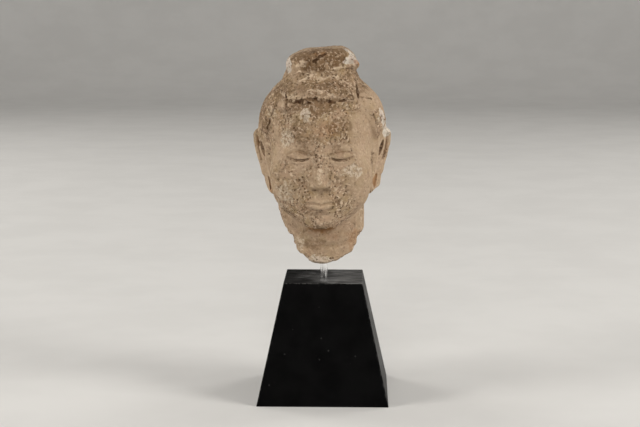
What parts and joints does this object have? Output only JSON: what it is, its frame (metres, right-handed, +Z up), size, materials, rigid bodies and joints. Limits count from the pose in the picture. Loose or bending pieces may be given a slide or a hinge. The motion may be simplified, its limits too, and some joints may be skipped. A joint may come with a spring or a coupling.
{
  "type": "stucco head sculpture on a plinth",
  "caption": "Broken stucco head with a topknot and long ears, held on a thin polished rod in a tapered black plinth.",
  "frame": {"origin": "centre of the plinth's underside, on the axis of the rod", "axes": "+Z up along the rod, the face looks along -Y, +X to the head's left"},
  "size_m": [0.1465, 0.1624, 0.3725],
  "materials": {
    "stucco": "weathered matt lime stucco with pits, white plaster patches and rusty stains",
    "polished_steel": "polished",
    "black_wood": "satin black paint, lightly scuffed"
  },
  "bodies": {
    "root": {"head": "stucco", "support_rod": "polished_steel", "plinth": "black_wood"}
  },
  "joints": []
}
